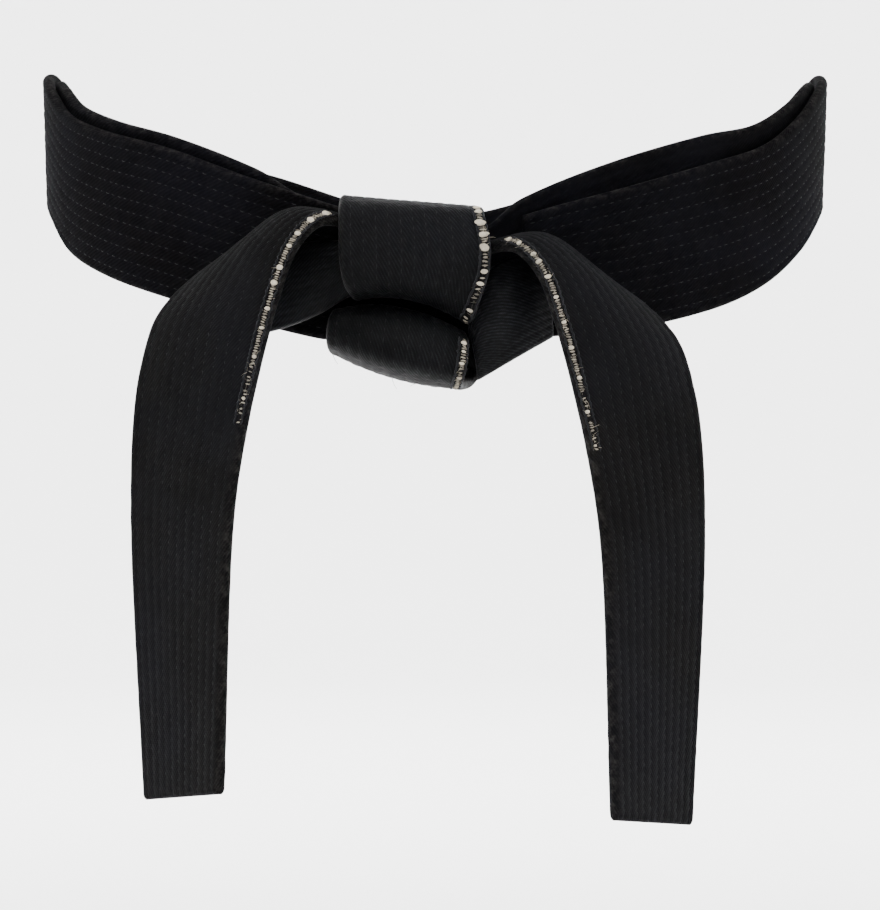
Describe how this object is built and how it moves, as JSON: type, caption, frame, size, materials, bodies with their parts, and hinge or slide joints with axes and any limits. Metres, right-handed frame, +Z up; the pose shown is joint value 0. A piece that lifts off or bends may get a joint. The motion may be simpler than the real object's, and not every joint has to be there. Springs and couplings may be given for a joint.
{
  "type": "martial arts belt",
  "caption": "Worn black quilted cotton belt wrapped round an empty waist and tied in a flat square knot, with hanging ends jointed at their creases and pale core showing along frayed edges.",
  "frame": {"origin": "middle of the waist opening, at the height where the sides of the loop begin to rise", "axes": "+Z up the wearer, -Y out of the wearer's front where the knot is, +X towards the right of the picture"},
  "size_m": [0.3003, 0.2594, 0.2758],
  "materials": {
    "black_cotton": "matt quilted cotton drill, rubbed paler along edges and thread rows",
    "knot_cotton": "black cotton with a faint satin sheen where the knot is pulled tight and rubbed",
    "batting_core": "undyed cotton batting inside the cover",
    "frayed_core": "cream core showing where the black cover has worn through"
  },
  "bodies": {
    "belt": {"outer_wrap_cover": "black_cotton", "outer_wrap_core": "batting_core", "inner_wrap_cover": "black_cotton", "inner_wrap_core": "batting_core", "knot_front_wrap_cover": "knot_cotton", "knot_front_wrap_core": "batting_core", "knot_lower_roll_cover": "knot_cotton", "knot_lower_roll_core": "batting_core", "knot_back_pass_cover": "knot_cotton", "knot_back_pass_core": "batting_core", "knot_left_band_cover": "knot_cotton", "knot_left_band_core": "batting_core", "knot_right_band_cover": "knot_cotton", "knot_right_band_core": "batting_core", "knot_frayed_core": "frayed_core", "knot_roll_frayed_core": "frayed_core", "left_tail_drape_cover": "black_cotton", "left_tail_drape_core": "batting_core", "left_tail_frayed_core": "frayed_core", "right_tail_drape_cover": "black_cotton", "right_tail_drape_core": "batting_core", "right_tail_frayed_core": "frayed_core"},
    "left_tail_upper": {"left_tail_upper_cover": "black_cotton", "left_tail_upper_core": "batting_core"},
    "left_tail_middle": {"left_tail_middle_cover": "black_cotton", "left_tail_middle_core": "batting_core"},
    "left_tail_lower": {"left_tail_lower_cover": "black_cotton", "left_tail_lower_core": "batting_core"},
    "right_tail_upper": {"right_tail_upper_cover": "black_cotton", "right_tail_upper_core": "batting_core"},
    "right_tail_middle": {"right_tail_middle_cover": "black_cotton", "right_tail_middle_core": "batting_core"},
    "right_tail_lower": {"right_tail_lower_cover": "black_cotton", "right_tail_lower_core": "batting_core"}
  },
  "joints": [
    {"name": "left_tail_crease_1", "type": "hinge", "parent": "belt", "child": "left_tail_upper", "pos_m": [-0.08347, -0.13303, -0.0492], "axis": [-0.8065, 0.5912, -0.001], "range_deg": [-20, 60]},
    {"name": "left_tail_crease_2", "type": "hinge", "parent": "left_tail_upper", "child": "left_tail_middle", "pos_m": [-0.0863, -0.13021, -0.0892], "axis": [-0.7115, 0.7019, -0.0346], "range_deg": [-60, 60]},
    {"name": "left_tail_crease_3", "type": "hinge", "parent": "left_tail_middle", "child": "left_tail_lower", "pos_m": [-0.08616, -0.129, -0.1292], "axis": [-0.6504, 0.7553, -0.0805], "range_deg": [-60, 60]},
    {"name": "right_tail_crease_1", "type": "hinge", "parent": "belt", "child": "right_tail_upper", "pos_m": [0.07207, -0.13303, -0.058], "axis": [-0.8065, -0.5912, 0.001], "range_deg": [-20, 60]},
    {"name": "right_tail_crease_2", "type": "hinge", "parent": "right_tail_upper", "child": "right_tail_middle", "pos_m": [0.0749, -0.13021, -0.098], "axis": [-0.7115, -0.7019, 0.0346], "range_deg": [-60, 60]},
    {"name": "right_tail_crease_3", "type": "hinge", "parent": "right_tail_middle", "child": "right_tail_lower", "pos_m": [0.07476, -0.129, -0.138], "axis": [-0.6504, -0.7553, 0.0805], "range_deg": [-60, 60]}
  ]
}
